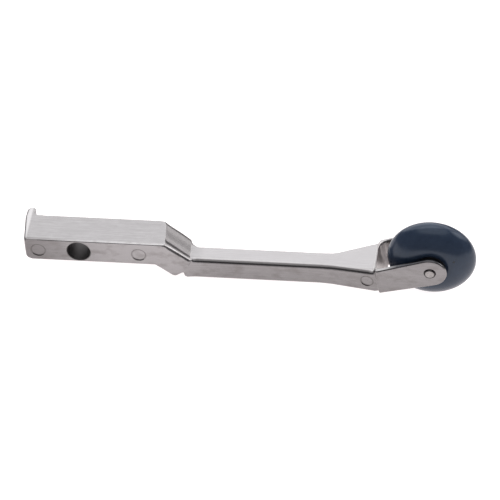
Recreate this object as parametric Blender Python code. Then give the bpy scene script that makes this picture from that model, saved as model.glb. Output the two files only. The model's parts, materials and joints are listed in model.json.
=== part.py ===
"""Contact arm of a narrow-belt file: a cast arm whose mounting bar plugs into the tool, and whose forked
end carries a crowned contact wheel on two miniature ball bearings.

Frame: the origin is the centre of the mounting bar's flat top, +X runs along the arm towards the wheel,
+Z is up out of the bar's top, and the arm's two broad sides face -Y (near) and +Y (far).
Driving dimensions are in millimetres and the model is built in metres.
"""

import math

import bmesh
import bpy
from mathutils import Matrix, Vector

MM = 0.001

# Mounting bar: its top lies in the plane Z = 0 and its mid-plane is Y = 0.
BAR_LENGTH = 40.0
BAR_WIDTH = 10.4
BAR_HEIGHT = 7.9
TAIL_CORNER_RADIUS = 2.6
TAIL_SKEW = 1.1  # how far the far corner of the tail reaches behind the near one
LUG_WIDTH = 2.7
LUG_REACH = 3.4  # how far the lug stands out of the bar's far side
CROSS_HOLE_DIAMETER = 6.7
CROSS_HOLE_X = -4.1
CROSS_HOLE_Z = -4.0

# Jog: the full-width block that drops from the bar to the neck, as (x, z) points of its side outline.
JOG_TOP_START = (20.7, 0.0)
JOG_TOP_END = (28.1, -5.95)
JOG_BOTTOM_START = (17.4, -BAR_HEIGHT)
HEEL = (22.8, -12.35)
NOTCH = (25.2, -10.7)
JOG_SKEW = -0.115  # x per unit of y: the sloping face starts further forward on the near side
JOG_EDGE_RADIUS = 1.2
JOG_RUN_OUT = 1.3  # how far before the bend the sharp edge starts to round over
JOG_TAPER = 0.6  # how much the far side draws in towards the neck
SHARP_EDGE_RADIUS = 0.15

# Neck: narrower than the bar, and set towards the near side.
NECK_NEAR = -4.5
NECK_FAR = 1.8
NECK_TOP = -5.9
NECK_BOTTOM = -13.05
NECK_UPPER_RADIUS = 1.35
NECK_LOWER_RADIUS = 1.0
FLARE_BOTTOM = -13.8

# Fork: two cheeks with round tips, concentric with the axle.
AXLE = (97.35, 0.2, -4.65)
ELBOW_TOP = (81.5, -5.1)
ELBOW_BOTTOM = (82.6, -13.6)
TIP_RADIUS = 4.85
FORK_GAP = 11.1
CHEEK_THICKNESS = 1.3
CHEEK_EDGE_ROUNDING = 0.4
BORE_COUNTERSINK = 0.1
POCKET_RADIUS = 15.7
POCKET_CORNER_RADIUS = 2.0

# Axle pin and what turns on it.
PIN_DIAMETER = 3.175
PIN_CHAMFER = 0.45
PIN_PROUD = 0.3
BEARING_OUTER_DIAMETER = 9.525
BEARING_WIDTH = 3.967
BALL_DIAMETER = 1.588
BALL_COUNT = 7
PITCH_RADIUS = (PIN_DIAMETER + BEARING_OUTER_DIAMETER) / 4
INNER_SHOULDER_RADIUS = 2.6
OUTER_SHOULDER_RADIUS = 3.75
GROOVE_RADIUS = 0.82
SEAL_SEAT_RADIUS = 4.25
SEAL_SEAT_DEPTH = 0.33
SEAL_THICKNESS = 0.2
SEAL_INNER_RADIUS = 2.72
CAGE_INNER_RADIUS = 2.85
CAGE_OUTER_RADIUS = 3.5
CAGE_WIDTH = 2.4
CAGE_POCKET_DIAMETER = 1.72
SPACER_WIDTH = 0.8
SPACER_RADIUS = 2.5
WASHER_THICKNESS = 1.1
WASHER_RADIUS = 2.6

WHEEL_DIAMETER = 25.4
WHEEL_WIDTH = 9.52
HUB_RADIUS = 6.2
HUB_WIDTH = 7.8
HUB_LAND_RADIUS = 4.3
HUB_KEY_DEPTH = 0.5
HUB_KEY_WIDTH = 2.4
TYRE_LIP_RADIUS = 4.35  # the lips reach in over the bearings' outer races
TYRE_SHOULDER_RADIUS = 5.4  # where the rounded tread runs out into the flat side
TREAD_ROUNDNESS = 1.85  # exponent of the tread's superellipse; 2 is a plain ellipse

FIT = 0.02  # radial gap of a push fit
FACE_GAP = 0.03  # gap between two faces that touch
ROUND_SEGMENTS = 48
SMALL_SEGMENTS = 32
SECTION_CORNER_STEPS = 5

CAST_ALUMINIUM = ("cast_aluminium", (0.52, 0.51, 0.51), 0.38, 1.0)
PIN_STEEL = ("pin_steel", (0.58, 0.57, 0.56), 0.28, 1.0)
BEARING_STEEL = ("bearing_steel", (0.62, 0.62, 0.63), 0.18, 1.0)
CAGE_STEEL = ("cage_steel", (0.50, 0.46, 0.38), 0.35, 1.0)
HUB_ALUMINIUM = ("hub_aluminium", (0.66, 0.67, 0.69), 0.30, 1.0)
WASHER_STEEL = ("washer_steel", (0.10, 0.10, 0.11), 0.42, 1.0)
SEAL_RUBBER = ("seal_rubber", (0.018, 0.018, 0.020), 0.55, 0.0)
NAVY_URETHANE = ("navy_urethane", (0.020, 0.032, 0.060), 0.34, 0.0)


def clear_scene():
    """Remove whatever the scene holds."""
    for obj in list(bpy.data.objects):
        bpy.data.objects.remove(obj, do_unlink=True)


def material(finish):
    """The Principled material of a finish, made once."""
    name, colour, roughness, metallic = finish
    found = bpy.data.materials.get(name)
    if found:
        return found
    made = bpy.data.materials.new(name)
    made.use_nodes = True
    shader = made.node_tree.nodes["Principled BSDF"]
    shader.inputs["Base Color"].default_value = (*colour, 1.0)
    shader.inputs["Roughness"].default_value = roughness
    shader.inputs["Metallic"].default_value = metallic
    made.diffuse_color = (*colour, 1.0)
    return made


def new_object(name, bm, finish=None, parent=None, smooth_angle=None):
    """Turn a bmesh in millimetres into an object, with its normals facing out."""
    bmesh.ops.recalc_face_normals(bm, faces=bm.faces)
    bmesh.ops.scale(bm, vec=Vector((MM, MM, MM)), verts=bm.verts)
    mesh = bpy.data.meshes.new(name)
    bm.to_mesh(mesh)
    bm.free()
    if smooth_angle is not None:
        mesh.shade_smooth()
        mesh.set_sharp_from_angle(angle=math.radians(smooth_angle))
    obj = bpy.data.objects.new(name, mesh)
    bpy.context.scene.collection.objects.link(obj)
    if finish:
        mesh.materials.append(material(finish))
    if parent:
        obj.parent = parent
    return obj


def new_axis(name, location):
    """An empty on a joint's axis, which the turning pieces hang on."""
    empty = bpy.data.objects.new(name, None)
    empty.location = Vector(location) * MM
    bpy.context.scene.collection.objects.link(empty)
    return empty


def arc(centre, radius, start_deg, end_deg, steps):
    """Points of an arc about centre, from one angle to the other, both ends included."""
    points = []
    for step in range(steps + 1):
        angle = math.radians(start_deg + (end_deg - start_deg) * step / steps)
        points.append((centre[0] + radius * math.cos(angle), centre[1] + radius * math.sin(angle)))
    return points


def prism(outline, low, high, axis):
    """A bmesh prism: an XZ outline drawn along Y, or an XY outline drawn along Z."""
    bm = bmesh.new()
    place = {
        "Y": lambda u, v, w: (u, w, v),
        "Z": lambda u, v, w: (u, v, w),
    }[axis]
    bottom = [bm.verts.new(place(u, v, low)) for u, v in outline]
    top = [bm.verts.new(place(u, v, high)) for u, v in outline]
    bm.faces.new(bottom)
    bm.faces.new(list(reversed(top)))
    count = len(outline)
    for i in range(count):
        j = (i + 1) % count
        bm.faces.new((bottom[i], top[i], top[j], bottom[j]))
    return bm


def turned(profile, segments, closed=True):
    """A bmesh body of revolution about the Y axis from (radius, y) points.

    A closed profile gives a ring. An open one runs from end face to end face of a solid pin.
    """
    bm = bmesh.new()
    rings = []
    for step in range(segments):
        angle = 2 * math.pi * step / segments
        ring = [bm.verts.new((r * math.cos(angle), y, r * math.sin(angle))) for r, y in profile]
        rings.append(ring)
    last = len(profile) if closed else len(profile) - 1
    for step in range(segments):
        here = rings[step]
        there = rings[(step + 1) % segments]
        for i in range(last):
            j = (i + 1) % len(profile)
            bm.faces.new((here[i], here[j], there[j], there[i]))
    if not closed:
        bm.faces.new([ring[0] for ring in rings])
        bm.faces.new([ring[-1] for ring in reversed(rings)])
    return bm


def section(top, bottom, near, far, upper_radius, lower_radius, skew=0.0):
    """A rounded rectangle drawn along Y, in the plane through an upper and a lower (x, z) point.

    A skew moves it along X as it goes along Y.
    """
    height = math.dist(top, bottom)
    corners = (
        (far - upper_radius, height - upper_radius, upper_radius, 0),
        (near + upper_radius, height - upper_radius, upper_radius, 90),
        (near + lower_radius, lower_radius, lower_radius, 180),
        (far - lower_radius, lower_radius, lower_radius, 270),
    )
    points = []
    for y_centre, rise_centre, radius, start in corners:
        centre = (y_centre, rise_centre)
        for y, rise in arc(centre, radius, start, start + 90, SECTION_CORNER_STEPS):
            share = rise / height
            x = bottom[0] + share * (top[0] - bottom[0])
            z = bottom[1] + share * (top[1] - bottom[1])
            points.append((x + skew * y, y, z))
    return points


def loft(sections):
    """A bmesh skin over cross-sections that have the same number of points, with flat ends."""
    bm = bmesh.new()
    rings = [[bm.verts.new(point) for point in section] for section in sections]
    for here, there in zip(rings, rings[1:]):
        for i in range(len(here)):
            j = (i + 1) % len(here)
            bm.faces.new((here[i], here[j], there[j], there[i]))
    bm.faces.new(rings[0])
    bm.faces.new(list(reversed(rings[-1])))
    return bm


def boolean(target, tool, operation):
    """Add a Boolean modifier that uses a hidden tool object."""
    tool.hide_render = True
    tool.display_type = "WIRE"
    modifier = target.modifiers.new(f"{operation.lower()}_{tool.name}", "BOOLEAN")
    modifier.operation = operation
    modifier.solver = "EXACT"
    modifier.object = tool


def along(start, end, share):
    """The point that lies a share of the way from start to end."""
    return (start[0] + share * (end[0] - start[0]), start[1] + share * (end[1] - start[1]))


def bar_and_jog_sections():
    """Sections of the mounting bar and of the sloping block that drops to the neck, with its round heel."""
    half = BAR_WIDTH / 2
    bar_start = -BAR_LENGTH / 2 + TAIL_CORNER_RADIUS + 0.2
    heel_points = (
        (0.17, along(JOG_BOTTOM_START, HEEL, 0.25)),
        (0.55, along(JOG_BOTTOM_START, HEEL, 0.86)),
        (0.65, (HEEL[0] + 0.05, HEEL[1] + 0.35)),
        (0.80, along(HEEL, NOTCH, 0.35)),
        (1.00, NOTCH),
    )
    sharp = SHARP_EDGE_RADIUS
    run_out = (JOG_TOP_START[0] - JOG_RUN_OUT, 0.0)
    sections = [
        section((bar_start, 0.0), (bar_start, -BAR_HEIGHT), -half, half, sharp, sharp),
        section(run_out, JOG_BOTTOM_START, -half, half, sharp, sharp, JOG_SKEW),
        section(JOG_TOP_START, along(JOG_BOTTOM_START, HEEL, 0.12), -half, half, 0.7, sharp, JOG_SKEW),
    ]
    for share, lower in heel_points:
        upper = along(JOG_TOP_START, JOG_TOP_END, share)
        far = half - JOG_TAPER * share**2
        sections.append(section(upper, lower, -half, far, JOG_EDGE_RADIUS, 2 * sharp, JOG_SKEW))
    return sections


def tail_plan_outline():
    """The XY outline of the tail end: a slightly skewed end face and the lug on the far side."""
    half_width = BAR_WIDTH / 2
    tail = -BAR_LENGTH / 2
    back = tail - TAIL_SKEW
    tip = half_width + LUG_REACH
    tip_radius = LUG_WIDTH / 2
    root_fillet = 0.9
    outline = [(tail + 4.0, -half_width), (tail + 0.5, -half_width)]
    outline += [(tail + 0.05, -half_width + 0.45), (back, half_width - 1.0)]
    outline += arc((back + tip_radius, tip - tip_radius), tip_radius, 180, 0, 8)
    root = (back + LUG_WIDTH + root_fillet, half_width + root_fillet)
    outline += arc(root, root_fillet, 180, 270, 3)
    outline.append((tail + 4.0, half_width))
    return outline


def tail_side_outline():
    """The XZ outline that rounds the tail's lower corner, also across the lug."""
    back = -BAR_LENGTH / 2 - TAIL_SKEW - 0.5
    rise = TAIL_CORNER_RADIUS
    centre = (-BAR_LENGTH / 2 - 0.2 + rise, -BAR_HEIGHT + rise)
    outline = [(back, 0.0), (-BAR_LENGTH / 2 + 4.0, 0.0), (-BAR_LENGTH / 2 + 4.0, -BAR_HEIGHT)]
    outline += arc(centre, rise, 270, 180 + 35, 5)
    outline.append((back, centre[1]))
    return outline


def neck_sections():
    """Cross-sections from inside the jog, along the neck and out over the flare."""
    flare_far = AXLE[1] + FORK_GAP / 2 + CHEEK_THICKNESS - 0.1
    stations = (
        (24.2, -4.9, 4.2, -9.8),
        (25.7, -4.9, 4.1, -10.6),
        (26.1, -4.9, 3.9, -12.5),
        (26.9, -4.8, 3.6, NECK_BOTTOM),
        (28.2, -4.6, 2.8, NECK_BOTTOM),
        (29.6, NECK_NEAR, NECK_FAR, NECK_BOTTOM),
        (65.5, NECK_NEAR, NECK_FAR, NECK_BOTTOM),
        (68.7, NECK_NEAR - 0.1, NECK_FAR + 0.1, NECK_BOTTOM - 0.15),
        (70.3, NECK_NEAR - 0.25, NECK_FAR + 0.5, NECK_BOTTOM - 0.25),
        (81.4, -6.0, flare_far, FLARE_BOTTOM),
        (84.8, -6.1, flare_far, FLARE_BOTTOM + 0.9),
    )
    return [
        section((x, NECK_TOP), (x, bottom), near, far, NECK_UPPER_RADIUS, NECK_LOWER_RADIUS)
        for x, near, far, bottom in stations
    ]


def tangent_point(corner, centre, radius, side):
    """Angle (degrees) at which a line from corner touches the circle; side is +1 above, -1 below."""
    dx = centre[0] - corner[0]
    dz = centre[1] - corner[1]
    towards = math.atan2(dz, dx)
    spread = math.acos(radius / math.hypot(dx, dz))
    return math.degrees(towards + math.pi - side * spread)


def fork_outline():
    """The XZ outline of a fork cheek: an inclined bar that ends in a tip about the axle."""
    centre = (AXLE[0], AXLE[2])
    start = tangent_point(ELBOW_BOTTOM, centre, TIP_RADIUS, -1)
    end = tangent_point(ELBOW_TOP, centre, TIP_RADIUS, 1)
    return [ELBOW_TOP, ELBOW_BOTTOM] + arc(centre, TIP_RADIUS, start - 360, end, 20)


def pocket_tool():
    """The cutter for the wheel pocket: a drum about the axle, narrowed at its rim by round corners."""
    half = FORK_GAP / 2
    corner = POCKET_CORNER_RADIUS
    profile = [(POCKET_RADIUS - corner, -half)]
    profile += [
        (r, y)
        for r, y in arc((POCKET_RADIUS - corner, -half + corner), corner, -90, 0, 4)[1:]
    ]
    profile += arc((POCKET_RADIUS - corner, half - corner), corner, 0, 90, 4)
    obj = new_object("pocket_cutter", turned(profile, 64, closed=False))
    obj.location = Vector(AXLE) * MM
    return obj


def hole_cutter(name, profile, centre, segments):
    """A turned cutter along Y, from (radius, y) points about its centre."""
    obj = new_object(name, turned(profile, segments, closed=False))
    obj.location = Vector(centre) * MM
    return obj


def pin_bore_profile():
    """The pin's bore through both cheeks, countersunk at each outer face."""
    bore = PIN_DIAMETER / 2 + FIT
    face = FORK_GAP / 2 + CHEEK_THICKNESS
    beyond = 1.0
    rim = bore + BORE_COUNTERSINK + beyond
    near_half = [(rim, -face - beyond), (bore, BORE_COUNTERSINK - face)]
    return near_half + [(r, -y) for r, y in reversed(near_half)]


def arm_casting():
    """The cast arm: bar, tail lug, jog, neck, flare and fork united, then cut for hole, pocket and pin."""
    fork_half = FORK_GAP / 2 + CHEEK_THICKNESS
    bar = new_object("arm_casting", loft(bar_and_jog_sections()), CAST_ALUMINIUM)
    tail = new_object("tail_block", prism(tail_plan_outline(), -BAR_HEIGHT, 0.0, "Z"))
    tail_round = new_object("tail_rounding", prism(tail_side_outline(), -12.0, 12.0, "Y"))
    boolean(tail, tail_round, "INTERSECT")
    neck = new_object("neck_body", loft(neck_sections()))
    fork = new_object(
        "fork_block",
        prism(fork_outline(), AXLE[1] - fork_half, AXLE[1] + fork_half, "Y"),
    )
    rounding = fork.modifiers.new("rounded_edges", "BEVEL")
    rounding.width = CHEEK_EDGE_ROUNDING * MM
    rounding.segments = 2
    rounding.limit_method = "ANGLE"
    rounding.angle_limit = math.radians(30)
    boolean(bar, tail, "UNION")
    boolean(bar, neck, "UNION")
    boolean(bar, fork, "UNION")
    boolean(bar, pocket_tool(), "DIFFERENCE")
    hole_profile = [(CROSS_HOLE_DIAMETER / 2, -BAR_WIDTH), (CROSS_HOLE_DIAMETER / 2, BAR_WIDTH)]
    hole_centre = (CROSS_HOLE_X, 0.0, CROSS_HOLE_Z)
    boolean(bar, hole_cutter("cross_hole_cutter", hole_profile, hole_centre, 40), "DIFFERENCE")
    pin_bore = hole_cutter("pin_bore_cutter", pin_bore_profile(), AXLE, SMALL_SEGMENTS)
    boolean(bar, pin_bore, "DIFFERENCE")
    return bar


def axle_pin(parent):
    """The pressed-in axle, with both ends chamfered and a little proud of the cheeks."""
    radius = PIN_DIAMETER / 2
    end = FORK_GAP / 2 + CHEEK_THICKNESS + PIN_PROUD
    profile = [
        (radius - PIN_CHAMFER, -end),
        (radius, -end + PIN_CHAMFER),
        (radius, end - PIN_CHAMFER),
        (radius - PIN_CHAMFER, end),
    ]
    return new_object("axle_pin", turned(profile, SMALL_SEGMENTS, closed=False), PIN_STEEL, parent, 30)


def ring(name, inner, outer, low, high, finish, parent):
    """A plain turned ring between two radii."""
    profile = [(inner, low), (outer, low), (outer, high), (inner, high)]
    return new_object(name, turned(profile, SMALL_SEGMENTS), finish, parent, 30)


def bearing_race(name, bore, rim, inward, middle, parent):
    """A race ring with its ball groove; inward is True for the inner race, whose groove faces out."""
    half = BEARING_WIDTH / 2
    chamfer = 0.2
    low = middle - half
    high = middle + half
    if inward:
        groove = [(r, middle + y) for r, y in arc((PITCH_RADIUS, 0), GROOVE_RADIUS, 225, 135, 4)]
        profile = [(bore, low), (rim, low), *groove, (rim, high), (bore, high)]
    else:
        groove = [(r, middle + y) for r, y in arc((PITCH_RADIUS, 0), GROOVE_RADIUS, 45, -45, 4)]
        seat = SEAL_SEAT_DEPTH
        profile = [(rim - chamfer, low), (rim, low + chamfer), (rim, high - chamfer), (rim - chamfer, high)]
        profile += [(SEAL_SEAT_RADIUS, high), (SEAL_SEAT_RADIUS, high - seat), (bore, high - seat)]
        profile += groove
        profile += [(bore, low + seat), (SEAL_SEAT_RADIUS, low + seat), (SEAL_SEAT_RADIUS, low)]
    return new_object(name, turned(profile, SMALL_SEGMENTS), BEARING_STEEL, parent, 30)


def seal(name, middle, side, parent):
    """One of the two rubber-faced seals that keep grit out of a bearing, seated in the outer race."""
    outer = SEAL_SEAT_RADIUS - FACE_GAP
    face = middle + side * (BEARING_WIDTH / 2 - SEAL_SEAT_DEPTH + FACE_GAP)
    low = min(face, face + side * SEAL_THICKNESS)
    return ring(
        name, SEAL_INNER_RADIUS, outer, low, low + SEAL_THICKNESS, SEAL_RUBBER, parent
    )


def ball(name, angle, parent, offset_y):
    """One bearing ball, on the pitch circle about the parent's axis."""
    bm = bmesh.new()
    bmesh.ops.create_uvsphere(bm, u_segments=10, v_segments=7, radius=BALL_DIAMETER / 2)
    obj = new_object(name, bm, BEARING_STEEL, parent, 60)
    place = (PITCH_RADIUS * math.cos(angle), offset_y, PITCH_RADIUS * math.sin(angle))
    obj.location = Vector(place) * MM
    return obj


def cage(name, parent, offset_y):
    """The ring that keeps the balls apart, with a round window for each ball."""
    half = CAGE_WIDTH / 2
    profile = [
        (CAGE_INNER_RADIUS, offset_y - half),
        (CAGE_OUTER_RADIUS, offset_y - half),
        (CAGE_OUTER_RADIUS, offset_y + half),
        (CAGE_INNER_RADIUS, offset_y + half),
    ]
    obj = new_object(name, turned(profile, 28), CAGE_STEEL, parent, 30)
    for index in range(BALL_COUNT):
        angle = 2 * math.pi * index / BALL_COUNT
        bm = bmesh.new()
        bmesh.ops.create_cone(
            bm,
            cap_ends=True,
            segments=12,
            radius1=CAGE_POCKET_DIAMETER / 2,
            radius2=CAGE_POCKET_DIAMETER / 2,
            depth=2.0,
        )
        turn = Matrix.Rotation(math.pi / 2, 4, "Y")
        bmesh.ops.transform(bm, matrix=turn, verts=bm.verts)
        tool = new_object(f"{name}_window_{index + 1}", bm, parent=parent)
        tool.rotation_euler = (0.0, -angle, 0.0)
        place = (PITCH_RADIUS * math.cos(angle), offset_y, PITCH_RADIUS * math.sin(angle))
        tool.location = Vector(place) * MM
        boolean(obj, tool, "DIFFERENCE")
    return obj


def wheel_hub(parent):
    """The aluminium sleeve that holds both bearings, with a central land and a groove that keys the tyre."""
    bore = BEARING_OUTER_DIAMETER / 2 + FIT
    half = HUB_WIDTH / 2
    land = SPACER_WIDTH / 2 - FACE_GAP
    key = HUB_KEY_WIDTH / 2
    outer = [
        (HUB_RADIUS, -half),
        (HUB_RADIUS, -key),
        (HUB_RADIUS - HUB_KEY_DEPTH, -key),
        (HUB_RADIUS - HUB_KEY_DEPTH, key),
        (HUB_RADIUS, key),
        (HUB_RADIUS, half),
    ]
    inner = [(bore, half), (bore, land), (HUB_LAND_RADIUS, land)]
    inner += [(HUB_LAND_RADIUS, -land), (bore, -land), (bore, -half)]
    return new_object(
        "wheel_hub", turned(outer + inner, ROUND_SEGMENTS), HUB_ALUMINIUM, parent, 30
    )


def tread_profile(steps):
    """The domed tread: half a superellipse, from one shoulder over the crown to the other."""
    rise = WHEEL_DIAMETER / 2 - TYRE_SHOULDER_RADIUS
    half = WHEEL_WIDTH / 2
    power = 2 / TREAD_ROUNDNESS
    points = []
    for step in range(steps + 1):
        angle = math.pi * (step / steps) - math.pi / 2
        across = math.copysign(abs(math.sin(angle)) ** power, angle)
        points.append((TYRE_SHOULDER_RADIUS + rise * abs(math.cos(angle)) ** power, half * across))
    return points


def wheel_tyre(parent):
    """The urethane tyre, moulded over the hub's rim, round its ends and in over the bearings."""
    half = WHEEL_WIDTH / 2
    bearing_face = SPACER_WIDTH / 2 + BEARING_WIDTH + FACE_GAP
    bearing_seat = BEARING_OUTER_DIAMETER / 2 + FIT
    hub_half = HUB_WIDTH / 2 + FACE_GAP
    key = HUB_KEY_WIDTH / 2 - FACE_GAP
    seat = HUB_RADIUS + FACE_GAP
    key_radius = seat - HUB_KEY_DEPTH
    inside = [
        (TYRE_LIP_RADIUS, half),
        (TYRE_LIP_RADIUS, bearing_face),
        (bearing_seat, bearing_face),
        (bearing_seat, hub_half),
        (seat, hub_half),
        (seat, key),
        (key_radius, key),
    ]
    mirrored = [(r, -y) for r, y in reversed(inside)]
    profile = tread_profile(14) + inside + mirrored
    return new_object("wheel_tyre", turned(profile, ROUND_SEGMENTS), NAVY_URETHANE, parent, 40)


def bearing(side_name, side, wheel_axis):
    """One ball bearing: its fixed inner race, its turning outer race and seals, and its cage of balls."""
    middle = side * (SPACER_WIDTH + BEARING_WIDTH) / 2
    pin_radius = PIN_DIAMETER / 2 + FIT
    fixed_axis = bpy.data.objects["axle_axis"]
    bearing_race(
        f"{side_name}_inner_race", pin_radius, INNER_SHOULDER_RADIUS, True, middle, fixed_axis
    )
    bearing_race(
        f"{side_name}_outer_race",
        OUTER_SHOULDER_RADIUS,
        BEARING_OUTER_DIAMETER / 2,
        False,
        middle,
        wheel_axis,
    )
    seal(f"{side_name}_outboard_seal", middle, side, wheel_axis)
    seal(f"{side_name}_inboard_seal", middle, -side, wheel_axis)
    cage_axis = new_axis(f"{side_name}_cage_axis", AXLE)
    cage(f"{side_name}_cage", cage_axis, middle)
    for index in range(BALL_COUNT):
        angle = 2 * math.pi * index / BALL_COUNT
        ball(f"{side_name}_ball_{index + 1}", angle, cage_axis, middle)


def spacer_and_washers(parent):
    """The sleeve between the inner races and the two thrust washers against the cheeks."""
    bore = PIN_DIAMETER / 2 + FIT
    half = SPACER_WIDTH / 2 - FACE_GAP
    ring("bearing_spacer", bore, SPACER_RADIUS, -half, half, PIN_STEEL, parent)
    inner_face = SPACER_WIDTH / 2 + BEARING_WIDTH + FACE_GAP
    for side_name, side in (("near", -1), ("far", 1)):
        low = min(side * inner_face, side * (inner_face + WASHER_THICKNESS))
        ring(
            f"{side_name}_thrust_washer",
            bore,
            WASHER_RADIUS,
            low,
            low + WASHER_THICKNESS,
            WASHER_STEEL,
            parent,
        )


def main():
    clear_scene()
    arm_casting()
    axle_axis = new_axis("axle_axis", AXLE)
    wheel_axis = new_axis("wheel_axis", AXLE)
    axle_pin(axle_axis)
    spacer_and_washers(axle_axis)
    bearing("near", -1, wheel_axis)
    bearing("far", 1, wheel_axis)
    wheel_hub(wheel_axis)
    wheel_tyre(wheel_axis)


main()
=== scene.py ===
"""Looks of the contact arm: cast surfaces, the moulded wheel, turned steel, studio light and camera.

Lengths are in metres and every piece lies in the CAD frame, where its parts already are.
"""

import json
import math

import bmesh
import bpy
import numpy as np
from mathutils import Matrix, Vector


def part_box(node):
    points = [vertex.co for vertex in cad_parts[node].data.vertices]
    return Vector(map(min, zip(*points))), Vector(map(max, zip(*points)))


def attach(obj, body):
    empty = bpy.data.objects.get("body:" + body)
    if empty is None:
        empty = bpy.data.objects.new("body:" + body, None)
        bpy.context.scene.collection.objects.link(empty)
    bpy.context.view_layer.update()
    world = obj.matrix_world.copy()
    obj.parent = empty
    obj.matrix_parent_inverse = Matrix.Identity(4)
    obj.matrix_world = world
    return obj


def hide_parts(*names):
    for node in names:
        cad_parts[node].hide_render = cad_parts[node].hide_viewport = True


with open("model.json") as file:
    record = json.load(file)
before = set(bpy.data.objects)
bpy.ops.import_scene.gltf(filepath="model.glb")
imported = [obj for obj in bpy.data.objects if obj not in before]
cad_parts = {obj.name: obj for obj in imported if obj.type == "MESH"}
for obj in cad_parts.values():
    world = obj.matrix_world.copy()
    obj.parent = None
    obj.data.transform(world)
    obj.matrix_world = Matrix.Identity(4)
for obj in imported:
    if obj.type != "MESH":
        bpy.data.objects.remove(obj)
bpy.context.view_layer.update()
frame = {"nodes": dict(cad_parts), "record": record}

MM = 0.001

# Camera: the direction it looks from, and the point that it looks at.
CAMERA_AZIMUTH = 10.79
CAMERA_ELEVATION = 43.70
CAMERA_ROLL = 4.73
CAMERA_DISTANCE = 0.9
CAMERA_TARGET = Vector((44.22, 4.13, -9.13)) * MM
CAMERA_LENS = 224.2

# Casting: the size of its surface mesh, and how far its edges are softened.
CASTING_VOXEL = 0.13 * MM
CASTING_SMOOTHING = 8
CASTING_FACES = 150_000
REGION_FADE = 0.3  # millimetres over which a worked region fades out

# Where the casting's edges are softer: x, y and z ranges in millimetres, and extra rounds of smoothing.
SOFT_REGIONS = (
    ((-22, -19.3), (-6, 9), (-1.8, 1), 80),
    ((-22, -16.0), (5.4, 9), (-1.6, 1), 30),
    ((20.5, 28.6), (3.9, 6), (-8, 0.4), 40),
    ((24, 30.5), (-6, 6), (-12, -4.8), 36),
    ((19, 23), (-6, 6), (-1.5, 1), 14),
    ((30, 80), (-6, -2.4), (-9.0, -5), 40),
    ((80.3, 88), (-5.2, 7.5), (-9, 1), 70),
    ((80.5, 84.5), (-7.5, -4), (-12.5, -5.4), 40),
)

# Round marks that the ejector pins leave in the near side, as (x, z, radius, first degree, last degree).
EJECTOR_MARKS = (
    (-16.0, -4.2, 2.15, -90, 450),
    (13.4, -4.25, 2.1, -90, 450),
    (79.2, -9.6, 1.85, 60, 300),
)
MARK_RIM_WIDTH = 0.22
MARK_RECESS = 0.17
MARK_GROOVE = 0.10
MARK_GROOVE_INSET = 0.1  # how far inside the rim the groove runs
MARK_SHADE_INSET = 0.08
MARK_FADE = 25.0  # degrees over which an unfinished ring fades out

# Beads that run down the jog's sloping face: (x, y) at the top, (x, y) at the foot, height and half width.
JOG_BEADS = (
    ((22.0, -2.5), (28.8, -3.1), -0.14, 0.85),
    ((21.2, 3.4), (28.4, 2.8), 0.13, 1.1),
)
JOG_TOP = (20.7, 0.0)  # where the sloping face starts and ends on the arm's mid-plane, as (x, z)
JOG_FOOT = (28.1, -5.95)
JOG_SKEW = 0.115  # how far back the sloping face starts for each unit of y
JOG_BEAD_ENDS = (21.2, 28.2)
JOG_BEAD_DEPTH = 1.0  # what lies further than this from the sloping face stays as it is

# Places on the casting, in millimetres. The axes of the cross hole and the axle are given as (x, z).
CROSS_HOLE = (-4.1, -4.0)
CROSS_HOLE_RIM = (3.4, 3.75)  # the distances from its axis between which the bore's rougher metal and painted shade end
AXLE = (97.35, -4.65)
AXLE_Y = 0.2
FORK_HALF_GAP = 5.55
NEAR_SIDE = -4.0  # every near side lies beyond this y
NEAR_SIDE_FINISH = (-4.4, -4.2)

# Where finishes and painted light and shade begin and end along the casting: the two x in millimetres
# between which each one fades.
TAIL_EDGE_BEGINS = (-19.0, -19.5)
TAIL_SHADE_ENDS = (-19, -6)
SIDE_LIGHT_BEGINS = (-9, 6)
SIDE_LIGHT_ENDS = (24, 32)
SLOPE_BEGINS = (21.0, 22.0)
SLOPE_ENDS = (27.5, 28.5)
NECK_TOP_BEGINS = (28, 32)
NECK_EDGE_BEGINS = (28.5, 30.0)
NECK_EDGE_ENDS = (79.5, 81.5)
NECK_SHADE_BEGINS = (29, 37)
FORK_BEGINS = (81.0, 83.0)
CHEEK_TOP_BEGINS = (84.5, 88)

# Colours of the casting's metal, of what lies on it, and of the light and shade painted on it.
CAST_DARK = (0.250, 0.242, 0.244)
CAST_LIGHT = (0.268, 0.260, 0.262)
PATCH = (0.21, 0.20, 0.20)
LIGHT_STREAK = (0.36, 0.352, 0.354)
DARK_STREAK = (0.17, 0.165, 0.165)
DARK_GRAIN = (0.17, 0.16, 0.16)
# painted light on the near side's middle; also a lighter neck top
PAINTED_LIGHT_AND_BRIGHT_TOP = (0.36, 0.35, 0.353)
STAIN = (0.16, 0.148, 0.142)
# painted shade on the near side's tail and neck and on the jog's slope
PAINTED_SIDE_AND_SLOPE_SHADE = (0.13, 0.12, 0.12)
# painted shade: the dark room reflected in the neck's rounded near top edge
PAINTED_NECK_EDGE_SHADE = (0.060, 0.055, 0.055)
# painted highlight and painted shade on the tail's rounded top edge
PAINTED_TAIL_EDGE_HIGHLIGHT = (0.42, 0.41, 0.41)
PAINTED_TAIL_EDGE_SHADE = (0.035, 0.033, 0.033)
# painted shade in the grooves round the ejector marks
PAINTED_MARK_RIM_SHADE = (0.085, 0.080, 0.075)
# painted shade inside the cross hole's bore
PAINTED_BORE_SHADE = (0.075, 0.070, 0.071)
FORK_INSIDE = (0.56, 0.525, 0.515)
# painted shade on the cheeks' tops, where the dark wheel is reflected
PAINTED_CHEEK_TOP_SHADE = (0.035, 0.035, 0.040)

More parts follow.
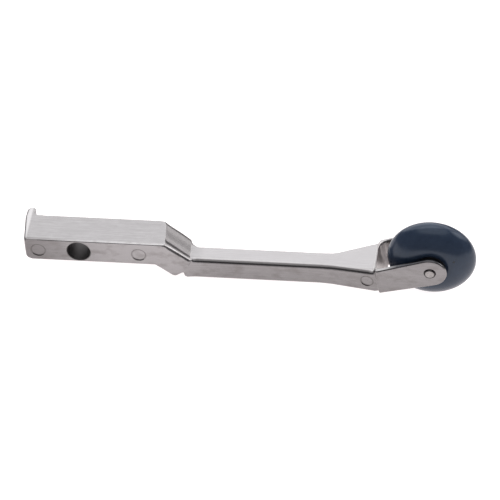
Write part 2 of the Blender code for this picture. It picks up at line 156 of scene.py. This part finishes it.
# Colours of the tyre, of the small steel and rubber parts, and of the shade painted round the pin's end.
NAVY_DARK = (0.0150, 0.0240, 0.044)
NAVY_LIGHT = (0.0190, 0.030, 0.053)
RUBBED_NAVY = (0.035, 0.045, 0.065)
SPECK = (0.004, 0.004, 0.006)
PIN_STEEL = (0.33, 0.315, 0.31)
# painted shade on the rounded chamfer round the axle pin's end
PAINTED_PIN_END_SHADE = (0.030, 0.028, 0.028)
BLACKENED = (0.055, 0.055, 0.06)
BLACKENED_WORN = (0.15, 0.14, 0.135)
RUBBER = (0.014, 0.014, 0.016)
RUBBER_DUSTY = (0.06, 0.058, 0.055)

FLOOR_TILT = 3.51  # degrees about Y at which the wheel and the foot of the jog both touch the floor
FLOOR_SIZE = 4000
FLAG_HOLE = ((-90, -48), (170, 90))  # the part of the floor that shows in the reflections
FLOOR_GLOW = 1.0  # the floor is lit from below, so that shadows on it stay faint

TYRE_SEGMENTS = 160
TREAD_STEPS = 56
TREAD_ROUNDNESS = 1.85
TYRE_SHOULDER_RADIUS = 5.4 * MM
TYRE_LIP_RADIUS = 4.35 * MM
TYRE_LIP_EDGE = 0.12 * MM
TYRE_SPECK = (103.98, -4.1, -1.84)
GAP = 0.02 * MM  # between two faces that touch

PIN_SEGMENTS = 96
PIN_CHAMFER = 0.45 * MM
PIN_CHAMFER_STEPS = 6
PIN_DISH = 0.03 * MM
PIN_END_RINGS = (0.05, 0.3, 0.6, 0.85, 0.95)  # radii on the pin's end, as shares of its flat
PIN_BRIGHT_RADIUS = 1.25  # in millimetres; painted shade lies further out, on the chamfer's rounding


# ---------------------------------------------------------------------------------------------
# Mesh helpers


def link(name, mesh):
    """A new object in the scene that holds a mesh."""
    obj = bpy.data.objects.new(name, mesh)
    bpy.context.scene.collection.objects.link(obj)
    return obj


def evaluated_mesh(obj):
    """The mesh of an object after its modifiers."""
    depsgraph = bpy.context.evaluated_depsgraph_get()
    return bpy.data.meshes.new_from_object(obj.evaluated_get(depsgraph), depsgraph=depsgraph)


def apply_modifiers(obj):
    """Bake an object's modifiers into its mesh."""
    mesh = evaluated_mesh(obj)
    obj.modifiers.clear()
    obj.data = mesh


def coordinates(mesh):
    """The vertex coordinates of a mesh as an array with a row for each vertex."""
    flat = np.empty(len(mesh.vertices) * 3, np.float32)
    mesh.vertices.foreach_get("co", flat)
    return flat.reshape(-1, 3).astype(float)


def set_coordinates(mesh, points):
    """Write an array of vertex coordinates back to a mesh."""
    mesh.vertices.foreach_set("co", points.astype(np.float32).ravel())
    mesh.update()


def edge_ends(mesh):
    """The vertex numbers at the two ends of each edge, as two arrays."""
    pairs = np.empty(len(mesh.edges) * 2, np.int32)
    mesh.edges.foreach_get("vertices", pairs)
    return pairs.reshape(-1, 2).T


def smoothed(points, ends, rounds, where=1.0):
    """Move points towards the mean of their neighbours some number of times, by a share for each."""
    first, second = ends
    count = len(points)
    degree = np.bincount(first, minlength=count) + np.bincount(second, minlength=count)
    for _ in range(rounds):
        mean = np.empty_like(points)
        for axis in range(3):
            column = points[:, axis]
            total = np.bincount(first, column[second], count)
            total += np.bincount(second, column[first], count)
            mean[:, axis] = total / degree
        points = points + 0.5 * where * (mean - points)
    return points


def lathe(name, profile, segments, centre, closed=True):
    """A body turned about a line along Y through centre, from (radius, y) points."""
    mesh_data = bmesh.new()
    rings = []
    for step in range(segments):
        angle = 2 * math.pi * step / segments
        across = (math.cos(angle), math.sin(angle))
        rings.append(
            [mesh_data.verts.new(centre + Vector((r * across[0], y, r * across[1]))) for r, y in profile]
        )
    last = len(profile) if closed else len(profile) - 1
    for here, there in zip(rings, rings[1:] + rings[:1]):
        for i in range(last):
            j = (i + 1) % len(profile)
            mesh_data.faces.new((here[i], here[j], there[j], there[i]))
    if not closed:
        mesh_data.faces.new([ring[0] for ring in rings])
        mesh_data.faces.new([ring[-1] for ring in reversed(rings)])
    bmesh.ops.recalc_face_normals(mesh_data, faces=mesh_data.faces)
    mesh = bpy.data.meshes.new(name)
    mesh_data.to_mesh(mesh)
    mesh_data.free()
    mesh.shade_smooth()
    return link(name, mesh)


# ---------------------------------------------------------------------------------------------
# Pieces


def bell(distance, half_width):
    """1 on a centre line, falling smoothly to nothing a little past half_width."""
    return np.exp(-((distance / half_width) ** 2))


def step_up(value, width):
    """From 0 to 1 as value passes zero, over about twice the width."""
    return 0.5 + 0.5 * np.tanh(value / width)


def within(value, low, high, width):
    """1 between low and high, fading out over about a width at both ends."""
    return step_up(value - low, width) * step_up(high - value, width)


def stamp_ejector_marks(points):
    """Press the round ejector marks into the near side, in millimetres."""
    x, y, z = points.T
    on_near_side = y < NEAR_SIDE
    for mark_x, mark_z, radius, first, last in EJECTOR_MARKS:
        distance = np.hypot(x - mark_x, z - mark_z)
        angle = np.degrees(np.arctan2(z - mark_z, x - mark_x)) % 360
        drawn = on_near_side * within(angle, first, last, MARK_FADE)
        disc = step_up(radius - distance, MARK_RIM_WIDTH / 2)
        groove = bell(distance - radius + MARK_GROOVE_INSET, MARK_RIM_WIDTH)
        y += drawn * (MARK_RECESS * disc + MARK_GROOVE * groove)


def raise_jog_beads(points):
    """Raise and sink the lines that the metal's flow leaves down the sloping face, in millimetres."""
    x, y, z = points.T
    slope = math.atan2(JOG_TOP[1] - JOG_FOOT[1], JOG_FOOT[0] - JOG_TOP[0])
    depth = z + (x - JOG_TOP[0] + JOG_SKEW * y) * math.tan(slope)
    on_face = within(x, *JOG_BEAD_ENDS, REGION_FADE) * (np.abs(depth) < JOG_BEAD_DEPTH)
    for (x_top, y_top), (x_foot, y_foot), height, half_width in JOG_BEADS:
        line = y_top + (x - x_top) * (y_foot - y_top) / (x_foot - x_top)
        rise = height * bell(y - line, half_width) * on_face
        x += rise * math.sin(slope)
        z += rise * math.cos(slope)


def soften_regions(points, ends):
    """Round some places of the casting more than the rest, working on the points of each place alone."""
    for x_range, y_range, z_range, rounds in SOFT_REGIONS:
        share = np.ones(len(points))
        for column, (low, high) in zip(points.T, (x_range, y_range, z_range)):
            share *= within(column, low, high, REGION_FADE)
        share[share < 0.01] = 0
        touching = ends[:, (share[ends[0]] > 0) | (share[ends[1]] > 0)]
        place, local = np.unique(touching, return_inverse=True)
        local = local.reshape(touching.shape)
        points[place] = smoothed(points[place], local, rounds, share[place][:, None])


def casting():
    """The die casting: the CAD solid with softened edges, ejector marks and flow lines."""
    node = "arm_casting"
    body = link("arm_casting_surface", frame["nodes"][node].data.copy())
    body.data.materials.clear()
    remesh = body.modifiers.new("voxels", "REMESH")
    remesh.mode = "VOXEL"
    remesh.voxel_size = CASTING_VOXEL
    apply_modifiers(body)
    ends = edge_ends(body.data)
    points = smoothed(coordinates(body.data) / MM, ends, CASTING_SMOOTHING)
    soften_regions(points, ends)
    stamp_ejector_marks(points)
    raise_jog_beads(points)
    low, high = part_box(node)
    set_coordinates(body.data, np.clip(points * MM, np.array(low), np.array(high)))
    decimate = body.modifiers.new("decimate", "DECIMATE")
    decimate.ratio = CASTING_FACES / (2 * len(body.data.polygons))
    apply_modifiers(body)
    body.data.shade_smooth()
    weighted = body.modifiers.new("weighted_normals", "WEIGHTED_NORMAL")
    weighted.mode = "FACE_AREA"
    weighted.weight = 90
    body.data.materials.append(cast_aluminium())
    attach(body, "arm")
    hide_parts(node)


def tread_profile(outer_radius, half_width):
    """The domed tread: half a superellipse from one shoulder over the crown to the other."""
    rise = outer_radius - TYRE_SHOULDER_RADIUS
    power = 2 / TREAD_ROUNDNESS
    points = []
    for step in range(TREAD_STEPS + 1):
        angle = math.pi * step / TREAD_STEPS - math.pi / 2
        across = math.copysign(abs(math.sin(angle)) ** power, angle)
        points.append((TYRE_SHOULDER_RADIUS + rise * abs(math.cos(angle)) ** power, half_width * across))
    return points


def tyre():
    """The moulded urethane tyre, with its domed tread and the lips that hold it on the hub."""
    node = "wheel_tyre"
    low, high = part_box(node)
    centre = (low + high) / 2
    outer_radius = (high.x - low.x) / 2
    half = (high.y - low.y) / 2
    hub_low, hub_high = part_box("wheel_hub")
    race_low, race_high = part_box("far_outer_race")
    hub_half = (hub_high.y - hub_low.y) / 2 + GAP
    hub_radius = (hub_high.x - hub_low.x) / 2 + GAP
    race_radius = (race_high.x - race_low.x) / 2 + GAP
    race_face = race_high.y - centre.y + GAP
    lip = TYRE_LIP_RADIUS
    inside = [(lip + TYRE_LIP_EDGE, half), (lip, half - TYRE_LIP_EDGE)]
    inside += [(lip, race_face), (race_radius, race_face)]
    inside += [(race_radius, hub_half), (hub_radius, hub_half)]
    profile = tread_profile(outer_radius, half) + inside + [(r, -y) for r, y in reversed(inside)]
    body = lathe("wheel_tyre_surface", profile, TYRE_SEGMENTS, centre)
    body.data.materials.append(navy_urethane())
    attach(body, "wheel")
    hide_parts(node)


def axle_pin():
    """The pressed-in axle, with rounded chamfers and slightly dished ends."""
    node = "axle_pin"
    low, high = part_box(node)
    centre = (low + high) / 2
    half = (high.y - low.y) / 2
    radius = (high.x - low.x) / 2
    flat = radius - PIN_CHAMFER
    end = [(flat * share, half - PIN_DISH * (1 - share**2)) for share in PIN_END_RINGS]
    rounding = []
    for step in range(PIN_CHAMFER_STEPS + 1):
        angle = math.radians(90 * step / PIN_CHAMFER_STEPS)
        rounding.append((flat + PIN_CHAMFER * math.sin(angle), half - PIN_CHAMFER * (1 - math.cos(angle))))
    top = end + rounding
    profile = [(r, -y) for r, y in top] + [(r, y) for r, y in reversed(top)]
    body = lathe("axle_pin_surface", profile, PIN_SEGMENTS, centre, closed=False)
    body.data.materials.append(turned_steel("pin_steel", PIN_STEEL, 0.24, PIN_BRIGHT_RADIUS))
    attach(body, "arm")
    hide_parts(node)


def finish_cad_nodes():
    """Give the CAD nodes that stay on show their finishes."""
    finishes = {
        "bearing_steel": turned_steel("bearing_steel", (0.62, 0.62, 0.63), 0.16),
        "pin_steel": turned_steel("spacer_steel", (0.56, 0.55, 0.54), 0.26),
        "cage_steel": turned_steel("cage_steel", (0.50, 0.46, 0.38), 0.34),
        "hub_aluminium": turned_steel("hub_aluminium", (0.66, 0.67, 0.69), 0.30),
        "washer_steel": black_oxide(),
        "seal_rubber": seal_rubber(),
    }
    for part in frame["record"]["subparts"]:
        node = frame["nodes"][part["node"]]
        if not node.hide_render:
            node.material_slots[0].material = finishes[part["material_slot"]]


# ---------------------------------------------------------------------------------------------
# Materials


def new_material(name, roughness, metallic):
    """A material with a Principled shader, and what its nodes are added with."""
    made = bpy.data.materials.new(name)
    made.use_nodes = True
    shader = made.node_tree.nodes["Principled BSDF"]
    shader.inputs["Roughness"].default_value = roughness
    shader.inputs["Metallic"].default_value = metallic
    return made, made.node_tree, shader


def add_node(tree, kind, inputs=(), **settings):
    """Add a node. An input given as a socket is linked, and any other value is set."""
    made = tree.nodes.new(kind)
    for name, value in settings.items():
        setattr(made, name, value)
    for key, value in dict(inputs).items():
        if isinstance(value, bpy.types.NodeSocket):
            tree.links.new(value, made.inputs[key])
        else:
            made.inputs[key].default_value = value
    return made


def frame_place(tree, stretch=(1, 1, 1)):
    """The place of a point on the piece in millimetres, stretched for streaks."""
    place = add_node(tree, "ShaderNodeTexCoord")
    inputs = {"Vector": place.outputs["Object"], "Scale": [s / MM for s in stretch]}
    return add_node(tree, "ShaderNodeMapping", inputs).outputs[0]


def noise(tree, place, size, detail=3.0, roughness=0.55):
    """Cloudy noise whose patches are about size millimetres across."""
    inputs = {"Vector": place, "Scale": 1 / size, "Detail": detail, "Roughness": roughness}
    return add_node(tree, "ShaderNodeTexNoise", inputs).outputs["Fac"]


def ramp(tree, value, low, high, out_low, out_high):
    """Map a value from one range to another, without going past the ends."""
    inputs = {
        "Value": value,
        "From Min": low,
        "From Max": high,
        "To Min": out_low,
        "To Max": out_high,
    }
    return add_node(tree, "ShaderNodeMapRange", inputs, clamp=True).outputs[0]


def mix_colour(tree, share, first, second):
    """Blend two colours by a share that comes from nodes."""
    made = add_node(tree, "ShaderNodeMix", data_type="RGBA")
    tree.links.new(share, made.inputs["Factor"])
    for socket, value in ((made.inputs[6], first), (made.inputs[7], second)):
        if isinstance(value, bpy.types.NodeSocket):
            tree.links.new(value, socket)
        else:
            socket.default_value = (*value, 1.0)
    return made.outputs[2]


def bumps(tree, shader, layers):
    """Stack bump layers of (height socket, height in millimetres) onto a shader's normal."""
    normal = None
    for height, size in layers:
        inputs = {"Height": height, "Distance": size * MM, "Strength": 1.0}
        if normal is not None:
            inputs["Normal"] = normal
        normal = add_node(tree, "ShaderNodeBump", inputs).outputs["Normal"]
    tree.links.new(normal, shader.inputs["Normal"])


def distance_from_axis(tree, place, x, z):
    """How far a point is from a line along Y, in millimetres."""
    flat = add_node(tree, "ShaderNodeVectorMath", {0: place, 1: (1, 0, 1)}, operation="MULTIPLY").outputs[0]
    away = add_node(tree, "ShaderNodeVectorMath", {0: flat, 1: (x, 0, z)}, operation="DISTANCE")
    return away.outputs["Value"]


def calculate(tree, operation, first, second=0.0):
    """One step of arithmetic."""
    return add_node(tree, "ShaderNodeMath", {0: first, 1: second}, operation=operation).outputs[0]


def painted_mark_rim_shade(tree, place, axes):
    """A mask of painted shade along the rims of the near side's ejector marks, in their grooves."""
    total = None
    for x, z, radius, _, _ in EJECTOR_MARKS:
        away = distance_from_axis(tree, place, x, z)
        off_rim = calculate(tree, "SUBTRACT", away, radius - MARK_SHADE_INSET)
        rim = ramp(tree, calculate(tree, "ABSOLUTE", off_rim), 0.05, 0.32, 1, 0)
        total = rim if total is None else calculate(tree, "MAXIMUM", total, rim)
    return calculate(tree, "MULTIPLY", total, near_side(tree, axes))


def near_side(tree, axes):
    """A mask of what lies on the arm's near side."""
    return ramp(tree, axes.outputs["Y"], *NEAR_SIDE_FINISH, 1, 0)


def painted_tail_edge_light(tree, axes, normal):
    """Masks of the tail's top edge: painted shade where it turns down and a painted highlight beside it,
    standing for the dark and bright reflections in its rounding.
    """
    at_tail = ramp(tree, axes.outputs["X"], *TAIL_EDGE_BEGINS, 0, 1)
    at_top = ramp(tree, axes.outputs["Z"], -1.5, -1.0, 0, 1)
    edge = calculate(tree, "MULTIPLY", at_tail, at_top)
    dark = calculate(tree, "MULTIPLY", edge, ramp(tree, normal.outputs["X"], -0.15, -0.45, 0, 0.85))
    bright = calculate(tree, "MULTIPLY", edge, ramp(tree, normal.outputs["X"], -0.6, -0.1, 0, 0.8))
    return dark, bright


def painted_neck_edge_shade(tree, axes, normal):
    """A mask of painted shade on the neck's rounded near top edge, standing for the dark room reflected
    there.
    """
    start = ramp(tree, axes.outputs["X"], *NECK_EDGE_BEGINS, 0, 0.62)
    end = ramp(tree, axes.outputs["X"], *NECK_EDGE_ENDS, 1, 0)
    turning = ramp(tree, normal.outputs["Y"], -0.12, -0.4, 0, 1)
    upright = ramp(tree, normal.outputs["Z"], 0.12, 0.4, 0, 1)
    along = calculate(tree, "MULTIPLY", start, end)
    return calculate(tree, "MULTIPLY", along, calculate(tree, "MULTIPLY", turning, upright))


def painted_light_and_bright_top(tree, axes, upward):
    """A mask of what is painted brighter: the near side's middle, as painted light, and the neck's top
    along its length.
    """
    start = ramp(tree, axes.outputs["X"], *SIDE_LIGHT_BEGINS, 0, 0.64)
    end = ramp(tree, axes.outputs["X"], *SIDE_LIGHT_ENDS, 1, 0)
    side = calculate(tree, "MULTIPLY", near_side(tree, axes), calculate(tree, "MULTIPLY", start, end))
    top = calculate(tree, "MULTIPLY", upward, ramp(tree, axes.outputs["X"], *NECK_TOP_BEGINS, 0, 0.48))
    return calculate(tree, "MAXIMUM", side, top)


def painted_shade_on_sides_and_slope(tree, axes, upward):
    """A mask of painted shade: most on the near side's tail, a little on the neck's near side and on the
    jog's slope.
    """
    tail = ramp(tree, axes.outputs["X"], *TAIL_SHADE_ENDS, 0.62, 0.04)
    neck = ramp(tree, axes.outputs["X"], *NECK_SHADE_BEGINS, 0, 0.2)
    side = calculate(tree, "MULTIPLY", near_side(tree, axes), calculate(tree, "MAXIMUM", tail, neck))
    start = ramp(tree, axes.outputs["X"], *SLOPE_BEGINS, 0, 0.13)
    end = ramp(tree, axes.outputs["X"], *SLOPE_ENDS, 1, 0)
    slope = calculate(tree, "MULTIPLY", calculate(tree, "MULTIPLY", start, end), upward)
    return calculate(tree, "MAXIMUM", side, slope)


def stained(tree, axes):
    """A mask of the near side's faint stains."""
    stains = noise(tree, frame_place(tree, (0.6, 1, 1)), 2.4)
    return calculate(tree, "MULTIPLY", near_side(tree, axes), ramp(tree, stains, 0.5, 0.7, 0, 0.45))


def inside_fork(tree, axes):
    """A mask of the faces between the fork's cheeks."""
    off_middle = calculate(tree, "ABSOLUTE", calculate(tree, "SUBTRACT", axes.outputs["Y"], AXLE_Y))
    between = ramp(tree, off_middle, FORK_HALF_GAP - 0.25, FORK_HALF_GAP + 0.05, 1, 0)
    return calculate(tree, "MULTIPLY", between, ramp(tree, axes.outputs["X"], *FORK_BEGINS, 0, 1))


def painted_cheek_top_shade(tree, axes, upward):
    """A mask of painted shade on top of the cheeks, standing for the dark wheel reflected there, stronger
    on the near one.
    """
    dust = calculate(tree, "MULTIPLY", upward, ramp(tree, axes.outputs["X"], *CHEEK_TOP_BEGINS, 0, 0.9))
    return calculate(tree, "MULTIPLY", dust, ramp(tree, axes.outputs["Y"], -1, 1, 1, 0.5))


def cast_aluminium():
    """Tumbled die casting: grey metal drawn out in streaks along the arm, rougher in its holes, with
    painted shade in the cross hole and painted light and shade on some edges and faces.
    """
    made, tree, shader = new_material("cast_aluminium", 0.22, 1.0)
    place = frame_place(tree)
    clouds = noise(tree, place, 5.0)
    patches = noise(tree, frame_place(tree, (0.5, 1, 1)), 1.3)
    streaks = noise(tree, frame_place(tree, (0.045, 1, 1)), 0.45)
    grain = noise(tree, place, 0.2, 2.0)
    axes = add_node(tree, "ShaderNodeSeparateXYZ", {0: place})
    facing = add_node(tree, "ShaderNodeNewGeometry").outputs["Normal"]
    normal = add_node(tree, "ShaderNodeSeparateXYZ", {0: facing})
    upward = ramp(tree, normal.outputs["Z"], 0.55, 0.8, 0, 1)
    in_fork = inside_fork(tree, axes)
    in_bore = ramp(tree, distance_from_axis(tree, place, *CROSS_HOLE), *CROSS_HOLE_RIM, 1, 0)
    painted_edge_shade, painted_edge_highlight = painted_tail_edge_light(tree, axes, normal)
    tone = mix_colour(tree, ramp(tree, clouds, 0.35, 0.65, 0, 1), CAST_DARK, CAST_LIGHT)
    layers = (
        (ramp(tree, patches, 0.4, 0.75, 0, 0.35), PATCH),
        (ramp(tree, streaks, 0.5, 0.8, 0, 0.35), LIGHT_STREAK),
        (ramp(tree, streaks, 0.45, 0.2, 0, 0.35), DARK_STREAK),
        (ramp(tree, grain, 0.55, 0.85, 0, 0.3), DARK_GRAIN),
        (painted_light_and_bright_top(tree, axes, upward), PAINTED_LIGHT_AND_BRIGHT_TOP),
        (stained(tree, axes), STAIN),
        (painted_shade_on_sides_and_slope(tree, axes, upward), PAINTED_SIDE_AND_SLOPE_SHADE),
        (painted_neck_edge_shade(tree, axes, normal), PAINTED_NECK_EDGE_SHADE),
        (painted_edge_highlight, PAINTED_TAIL_EDGE_HIGHLIGHT),
        (painted_edge_shade, PAINTED_TAIL_EDGE_SHADE),
        (calculate(tree, "MULTIPLY", painted_mark_rim_shade(tree, place, axes), 0.55), PAINTED_MARK_RIM_SHADE),
        # painted shade in the cross hole's bore
        (calculate(tree, "MULTIPLY", in_bore, 0.9), PAINTED_BORE_SHADE),
        (in_fork, FORK_INSIDE),
        (painted_cheek_top_shade(tree, axes, upward), PAINTED_CHEEK_TOP_SHADE),
    )
    for share, colour in layers:
        tone = mix_colour(tree, share, tone, colour)
    tree.links.new(tone, shader.inputs["Base Color"])
    dull = calculate(tree, "MULTIPLY", calculate(tree, "MAXIMUM", in_fork, in_bore), 0.33)
    rough = calculate(tree, "ADD", ramp(tree, clouds, 0.3, 0.7, 0.20, 0.24), dull)
    tree.links.new(rough, shader.inputs["Roughness"])
    bumps(tree, shader, [(clouds, 0.03), (streaks, 0.007), (grain, 0.004)])
    return made


def navy_urethane():
    """Moulded urethane: deep navy, semi-gloss, with a faint grain and rubbed flecks."""
    made, tree, shader = new_material("navy_urethane", 0.21, 0.0)
    shader.inputs["Specular IOR Level"].default_value = 0.36
    shader.inputs["Specular Tint"].default_value = (0.82, 0.91, 1.0, 1.0)
    place = frame_place(tree)
    clouds = noise(tree, place, 2.6)
    grain = noise(tree, place, 0.22, 2.0)
    tone = mix_colour(tree, ramp(tree, clouds, 0.3, 0.7, 0, 1), NAVY_DARK, NAVY_LIGHT)
    tone = mix_colour(tree, ramp(tree, grain, 0.62, 0.8, 0, 0.35), tone, RUBBED_NAVY)
    off_speck = add_node(tree, "ShaderNodeVectorMath", {0: place, 1: TYRE_SPECK}, operation="DISTANCE")
    speck = ramp(tree, off_speck.outputs["Value"], 0.3, 0.6, 0.9, 0)
    tone = mix_colour(tree, speck, tone, SPECK)
    tree.links.new(tone, shader.inputs["Base Color"])
    tree.links.new(ramp(tree, clouds, 0.3, 0.7, 0.18, 0.25), shader.inputs["Roughness"])
    bumps(tree, shader, [(clouds, 0.012), (grain, 0.004)])
    return made


def turned_steel(name, colour, roughness, shade_radius=None):
    """Turned and ground metal with fine scratches, a little tarnish, and painted shade round an axle's
    rounded end.
    """
    made, tree, shader = new_material(name, roughness, 1.0)
    place = frame_place(tree)
    scratch_place = frame_place(tree, (1, 9, 1))
    clouds = noise(tree, place, 1.1)
    scratches = noise(tree, scratch_place, 0.9, 4.0, 0.7)
    dark = [c * 0.78 for c in colour]
    tone = mix_colour(tree, ramp(tree, clouds, 0.35, 0.7, 0, 1), colour, dark)
    if shade_radius:
        away = distance_from_axis(tree, place, *AXLE)
        painted_end_shade = ramp(tree, away, shade_radius - 0.06, shade_radius + 0.06, 0, 0.9)
        tone = mix_colour(tree, painted_end_shade, tone, PAINTED_PIN_END_SHADE)
    tree.links.new(tone, shader.inputs["Base Color"])
    rough = ramp(tree, scratches, 0.3, 0.7, roughness - 0.05, roughness + 0.08)
    tree.links.new(rough, shader.inputs["Roughness"])
    bumps(tree, shader, [(scratches, 0.004)])
    return made


def black_oxide():
    """Blackened steel, slightly worn to brown-grey."""
    made, tree, shader = new_material("black_oxide", 0.42, 1.0)
    place = frame_place(tree)
    wear = noise(tree, place, 0.7, 4.0)
    tone = mix_colour(tree, ramp(tree, wear, 0.45, 0.75, 0, 1), BLACKENED, BLACKENED_WORN)
    tree.links.new(tone, shader.inputs["Base Color"])
    tree.links.new(ramp(tree, wear, 0.3, 0.7, 0.36, 0.5), shader.inputs["Roughness"])
    bumps(tree, shader, [(wear, 0.004)])
    return made


def seal_rubber():
    """Black rubber with a trace of dust."""
    made, tree, shader = new_material("seal_rubber", 0.55, 0.0)
    place = frame_place(tree)
    dust = noise(tree, place, 0.4, 4.0)
    tone = mix_colour(tree, ramp(tree, dust, 0.5, 0.8, 0, 1), RUBBER, RUBBER_DUSTY)
    tree.links.new(tone, shader.inputs["Base Color"])
    tree.links.new(ramp(tree, dust, 0.3, 0.7, 0.5, 0.65), shader.inputs["Roughness"])
    bumps(tree, shader, [(dust, 0.006)])
    return made


# ---------------------------------------------------------------------------------------------
# Studio


def floor_sheet(name, height, corners, faces):
    """A sheet in the floor's plane, or at a height above it, from (x, y) corners in millimetres."""
    low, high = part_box("wheel_tyre")
    turn = Matrix.Rotation(math.radians(FLOOR_TILT), 4, "Y")
    under_wheel = (low + high) / 2 + turn @ Vector((0, 0, (low.z - high.z) / 2))
    mesh = bpy.data.meshes.new(name)
    start = Vector((low.x, 0, 0))
    points = [under_wheel + turn @ (Vector((x, y, height)) * MM - start) for x, y in corners]
    mesh.from_pydata(points, [], faces)
    sheet = link(name, mesh)
    return sheet


def rectangle(low, high):
    """The corners of a rectangle, in order round it."""
    return [low, (high[0], low[1]), high, (low[0], high[1])]


def floor():
    """A plain pale floor, tilted so that the arm lies on it on its wheel and the foot of the jog."""
    corners = rectangle((-FLOOR_SIZE, -FLOOR_SIZE), (FLOOR_SIZE, FLOOR_SIZE))
    sheet = floor_sheet("floor", 0, corners, [(0, 1, 2, 3)])
    made, _, shader = new_material("pale_floor", 0.9, 0.0)
    shader.inputs["Base Color"].default_value = (0.36, 0.35, 0.35, 1.0)
    shader.inputs["Specular IOR Level"].default_value = 0.0
    shader.inputs["Emission Color"].default_value = (1.0, 0.95, 0.955, 1.0)
    shader.inputs["Emission Strength"].default_value = FLOOR_GLOW
    sheet.data.materials.append(made)


def flag():
    """A dark flag round the arm, seen only in reflections, that stands for the unlit part of the room."""
    outside = rectangle((-FLOOR_SIZE, -FLOOR_SIZE), (FLOOR_SIZE, FLOOR_SIZE))
    faces = [(i, (i + 1) % 4, 4 + (i + 1) % 4, 4 + i) for i in range(4)]
    sheet = floor_sheet("flag", 1.0, outside + rectangle(*FLAG_HOLE), faces)
    made, _, shader = new_material("black_flag", 0.9, 0.0)
    shader.inputs["Base Color"].default_value = (0.14, 0.14, 0.145, 1.0)
    shader.inputs["Specular IOR Level"].default_value = 0.0
    sheet.data.materials.append(made)
    sheet.visible_camera = False
    sheet.visible_diffuse = False
    sheet.visible_shadow = False


def softbox(name, strength, angle, azimuth, elevation, colour=(1, 1, 1)):
    """A broad soft light that comes from one side of the sky, as from a large diffuser."""
    light = bpy.data.lights.new(name, "SUN")
    light.energy = strength
    light.angle = math.radians(angle)
    light.color = colour
    obj = bpy.data.objects.new(name, light)
    bpy.context.scene.collection.objects.link(obj)
    a = math.radians(azimuth)
    e = math.radians(elevation)
    towards = Vector((math.sin(a) * math.cos(e), -math.cos(a) * math.cos(e), math.sin(e)))
    obj.rotation_euler = towards.to_track_quat("Z", "Y").to_euler()


def studio():
    """Plain soft studio light: diffusers behind, overhead and on the right, in a dim room."""
    softbox("back_softbox", 3.05, 90, 200, 45, (0.985, 0.99, 1.0))
    softbox("top_softbox", 1.15, 70, 0, 78)
    softbox("right_softbox", 0.85, 50, 124, 26, (1.0, 0.98, 0.98))
    softbox("side_softbox", 0.45, 30, 98, 32)
    world = bpy.data.worlds.new("studio")
    world.use_nodes = True
    tree = world.node_tree
    background = tree.nodes["Background"]
    path = add_node(tree, "ShaderNodeLightPath")
    tone = mix_colour(tree, path.outputs["Is Camera Ray"], (0.23, 0.225, 0.23), (1.0, 1.0, 1.0))
    tree.links.new(tone, background.inputs["Color"])
    bpy.context.scene.world = world
    bpy.context.scene.view_settings.view_transform = "Standard"


def camera():
    """A long-lens camera at the viewing angle of the reference, rolled a little."""
    data = bpy.data.cameras.new("camera")
    data.lens = CAMERA_LENS
    data.clip_start = 0.05
    data.clip_end = 20.0
    obj = bpy.data.objects.new("camera", data)
    bpy.context.scene.collection.objects.link(obj)
    a = math.radians(CAMERA_AZIMUTH)
    e = math.radians(CAMERA_ELEVATION)
    roll = math.radians(CAMERA_ROLL)
    back = Vector((math.sin(a) * math.cos(e), -math.cos(a) * math.cos(e), math.sin(e)))
    level_right = Vector((math.cos(a), math.sin(a), 0.0))
    level_up = back.cross(level_right)
    right = level_right * math.cos(roll) - level_up * math.sin(roll)
    up = level_right * math.sin(roll) + level_up * math.cos(roll)
    turn = Matrix((right, up, back)).transposed().to_4x4()
    obj.matrix_world = Matrix.Translation(CAMERA_TARGET + back * CAMERA_DISTANCE) @ turn
    bpy.context.scene.camera = obj


casting()
tyre()
axle_pin()
finish_cad_nodes()
floor()
flag()
studio()
camera()
